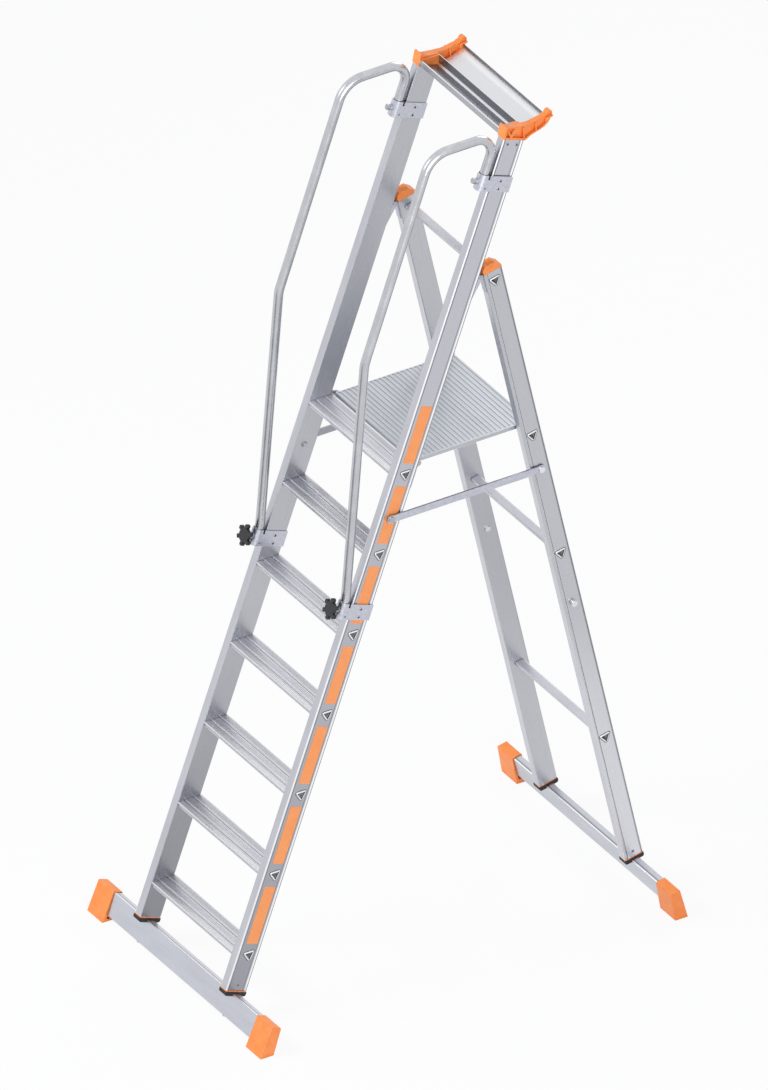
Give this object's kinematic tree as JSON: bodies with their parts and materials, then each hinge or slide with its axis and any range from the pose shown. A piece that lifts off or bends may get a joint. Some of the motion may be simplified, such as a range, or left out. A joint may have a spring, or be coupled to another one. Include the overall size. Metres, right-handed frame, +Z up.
{
  "type": "folding platform steps",
  "caption": "Folding aluminium platform steps with a fold-up ribbed platform, bent handrails, a tool tray and wide stabiliser bars on moulded feet",
  "frame": {"origin": "on the ground in the middle of the overall box", "axes": "+X across to the climber's right, +Y from the climbing side to the support frame, +Z up"},
  "size_m": [0.911, 1.3986, 2.6413],
  "materials": {
    "aluminium_profile": "satin extruded",
    "handrail_tube": "smooth drawn tube",
    "zinc_sheet": "zinc plated sheet",
    "steel_fastener": "zinc plated",
    "orange_plastic": "moulded satin",
    "black_rubber": "matt",
    "black_plastic": "moulded satin"
  },
  "bodies": {
    "front_frame": {"front_stile_left": "aluminium_profile", "front_stile_right": "aluminium_profile", "tread_1": "aluminium_profile", "tread_2": "aluminium_profile", "tread_3": "aluminium_profile", "tread_4": "aluminium_profile", "tread_5": "aluminium_profile", "tread_6": "aluminium_profile", "platform_tread": "aluminium_profile", "front_crossbar": "aluminium_profile", "front_foot_left": "orange_plastic", "front_foot_right": "orange_plastic", "front_plugs": "orange_plastic", "front_pads": "black_rubber", "front_bar_bolts": "steel_fastener", "tray": "aluminium_profile", "tray_bracket_left": "orange_plastic", "tray_bracket_right": "orange_plastic", "front_rivets": "steel_fastener", "stile_hinge_left": "zinc_sheet", "stile_hinge_right": "zinc_sheet", "hinge_pins": "steel_fastener", "platform_bracket_left": "zinc_sheet", "platform_bracket_right": "zinc_sheet", "upper_clamp_left": "zinc_sheet", "upper_clamp_right": "zinc_sheet", "lower_clamp_left": "zinc_sheet", "lower_clamp_right": "zinc_sheet", "handrail_left": "handrail_tube", "handrail_right": "handrail_tube", "upper_clamp_bolts": "steel_fastener", "stay_pivots": "steel_fastener"},
    "rear_frame": {"rear_leg_left": "aluminium_profile", "rear_leg_right": "aluminium_profile", "rear_rung_top": "aluminium_profile", "rear_rung_platform": "aluminium_profile", "rear_rung_middle": "aluminium_profile", "rear_rung_lower": "aluminium_profile", "rear_crossbar": "aluminium_profile", "rear_foot_left": "orange_plastic", "rear_foot_right": "orange_plastic", "rear_plugs": "orange_plastic", "rear_pads": "black_rubber", "rear_bar_bolts": "steel_fastener", "leg_cap_left": "orange_plastic", "leg_cap_right": "orange_plastic", "leg_hinge_left": "zinc_sheet", "leg_hinge_right": "zinc_sheet", "stay_studs": "steel_fastener", "rear_rivets": "steel_fastener"},
    "platform": {"platform_deck": "aluminium_profile", "platform_side_left": "aluminium_profile", "platform_side_right": "aluminium_profile", "platform_pins": "steel_fastener"},
    "stay_left": {"stay_left": "zinc_sheet"},
    "stay_right": {"stay_right": "zinc_sheet"},
    "knob_left": {"star_knob_left": "black_plastic"},
    "knob_right": {"star_knob_right": "black_plastic"}
  },
  "joints": [
    {"name": "rear_fold", "type": "hinge", "parent": "front_frame", "child": "rear_frame", "pos_m": [0, 0.15803, 2.16889], "axis": [-1, 0, 0], "range_deg": [0, 26]},
    {"name": "platform_lift", "type": "hinge", "parent": "front_frame", "child": "platform", "pos_m": [0, -0.0332, 1.61112], "axis": [1, 0, 0], "range_deg": [0, 70.05]},
    {"name": "stay_left_swing", "type": "hinge", "parent": "front_frame", "child": "stay_left", "pos_m": [-0.2445, -0.13997, 1.4772], "axis": [1, 0, 0], "range_deg": [0, 70.05]},
    {"name": "stay_right_swing", "type": "hinge", "parent": "front_frame", "child": "stay_right", "pos_m": [0.2445, -0.13997, 1.4772], "axis": [1, 0, 0], "range_deg": [0, 70.05]},
    {"name": "knob_left_turn", "type": "hinge", "parent": "front_frame", "child": "knob_left", "pos_m": [-0.225, -0.3152, 1.23024], "axis": [0, -0.9397, 0.342], "continuous": true},
    {"name": "knob_right_turn", "type": "hinge", "parent": "front_frame", "child": "knob_right", "pos_m": [0.225, -0.3152, 1.23024], "axis": [0, -0.9397, 0.342], "continuous": true}
  ],
  "couplings": [
    {"joint": "platform_lift", "follows": "rear_fold", "ratio": 2.6923},
    {"joint": "stay_left_swing", "follows": "rear_fold", "ratio": 2.6923},
    {"joint": "stay_right_swing", "follows": "rear_fold", "ratio": 2.6923}
  ]
}
